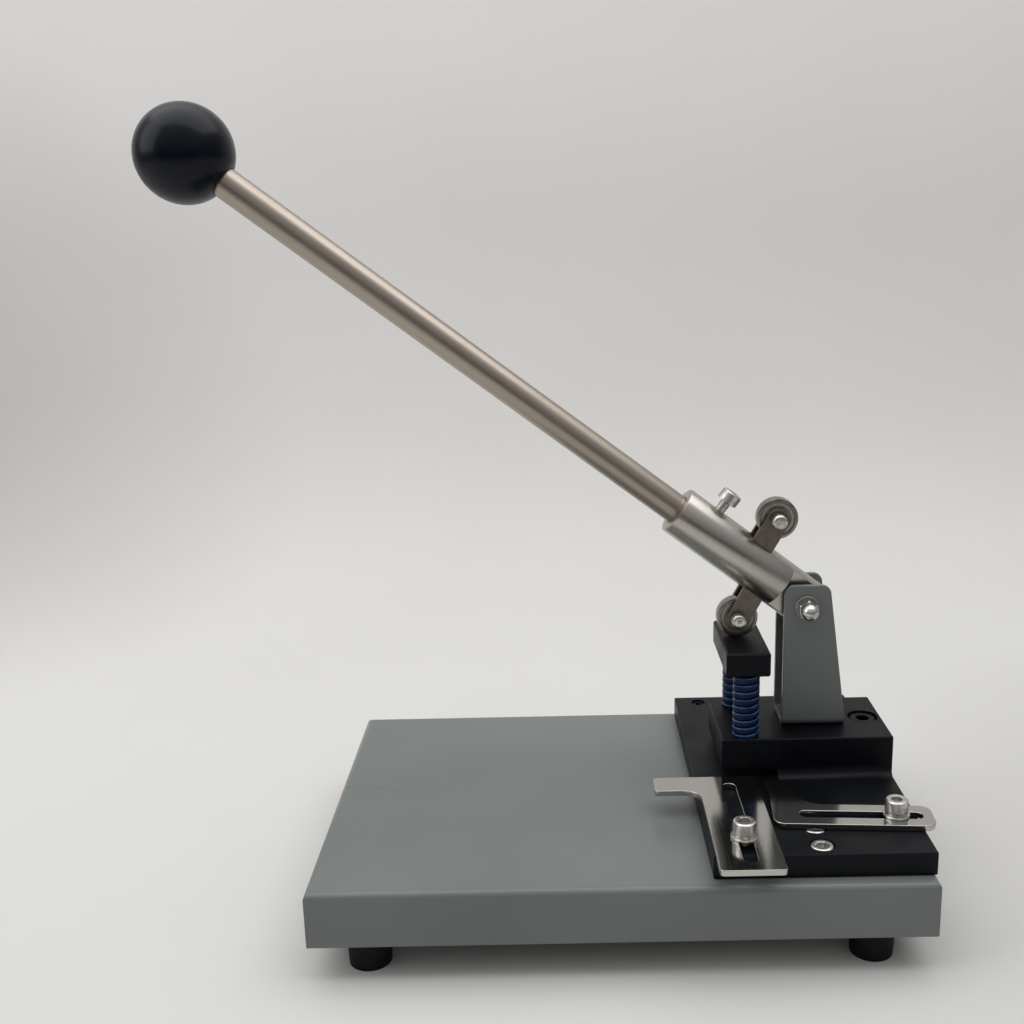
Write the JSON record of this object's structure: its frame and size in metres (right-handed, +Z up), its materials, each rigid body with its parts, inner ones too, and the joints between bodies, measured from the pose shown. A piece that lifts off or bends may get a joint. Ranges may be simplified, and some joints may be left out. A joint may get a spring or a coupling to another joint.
{
  "type": "bench hole punch",
  "caption": "Lever-operated bench punch: folded steel tray, black die block, sprung press bar, clevis bracket, ball-ended lever and slotted stop guides.",
  "frame": {"origin": "on the floor, in the middle of the box round the whole machine", "axes": "+Z up, -Y towards the front, where the guides stand out; the lever points to -X"},
  "size_m": [0.3894, 0.2178, 0.4155],
  "materials": {
    "grey_enamel": "satin grey enamel",
    "black_oxide": "satin black",
    "bright_steel": "brushed steel",
    "tool_steel": "ground tool steel",
    "zinc_plate": "bright zinc plate",
    "black_rubber": "moulded black rubber",
    "black_phenolic": "polished black plastic",
    "spring_blue": "blue paint"
  },
  "bodies": {
    "base": {"base_tray": "grey_enamel", "foot_front_left": "black_rubber", "foot_front_right": "black_rubber", "foot_back_left": "black_rubber", "foot_back_right": "black_rubber", "foot_screws": "zinc_plate", "die_block": "black_oxide", "die_bush": "tool_steel", "plate_screws": "zinc_plate", "plate_back_screws": "black_oxide", "head_screw": "black_oxide", "under_nuts": "zinc_plate", "pivot_bracket": "grey_enamel", "bracket_screws": "zinc_plate", "pivot_bolt": "zinc_plate", "pivot_nut": "zinc_plate", "pivot_washers": "zinc_plate", "pivot_spacers": "zinc_plate", "left_guide_screw": "zinc_plate", "left_guide_washers": "zinc_plate", "right_guide_screw": "zinc_plate", "right_guide_washers": "zinc_plate", "front_spring": "spring_blue", "rear_spring": "spring_blue"},
    "lever": {"lever_hub": "bright_steel", "lever_rod": "bright_steel", "ball_knob": "black_phenolic", "clamp_screw": "zinc_plate", "lower_cheek_front": "bright_steel", "lower_cheek_rear": "bright_steel", "upper_cheek_front": "bright_steel", "upper_cheek_rear": "bright_steel", "lower_inner_ring": "bright_steel", "lower_pin": "zinc_plate", "upper_inner_ring": "bright_steel", "upper_pin": "zinc_plate"},
    "bar": {"press_bar": "black_oxide", "front_guide_post": "tool_steel", "rear_guide_post": "tool_steel", "punch": "tool_steel"},
    "lower_wheel": {"lower_roller": "bright_steel"},
    "upper_wheel": {"upper_roller": "bright_steel"},
    "left_stop": {"left_guide": "bright_steel"},
    "right_stop": {"right_guide": "bright_steel"}
  },
  "joints": [
    {"name": "lever_swing", "type": "hinge", "parent": "base", "child": "lever", "pos_m": [0.14333, 0.02065, 0.15115], "axis": [0, -1, 0], "range_deg": [0, 16]},
    {"name": "bar_slide", "type": "slide", "parent": "base", "child": "bar", "axis": [0, 0, -1], "range_m": [0, 0.00948], "stiffness_N_per_m": 9000, "springref_m": -0.008, "deforming": ["front_spring", "rear_spring"]},
    {"name": "lower_roller_spin", "type": "hinge", "parent": "lever", "child": "lower_wheel", "pos_m": [0.10787, 0.02065, 0.14314], "axis": [0, -1, 0], "continuous": true},
    {"name": "upper_roller_spin", "type": "hinge", "parent": "lever", "child": "upper_wheel", "pos_m": [0.1285, 0.02065, 0.19761], "axis": [0, -1, 0], "continuous": true},
    {"name": "left_guide_slide", "type": "slide", "parent": "base", "child": "left_stop", "axis": [0, 1, 0], "range_m": [-0.05, 0.004]},
    {"name": "right_guide_slide", "type": "slide", "parent": "base", "child": "right_stop", "axis": [0.9971, -0.0767, 0], "range_m": [0, 0.04]}
  ],
  "couplings": [
    {"joint": "bar_slide", "follows": "lever_swing", "m_per_rad": 0.033885}
  ]
}
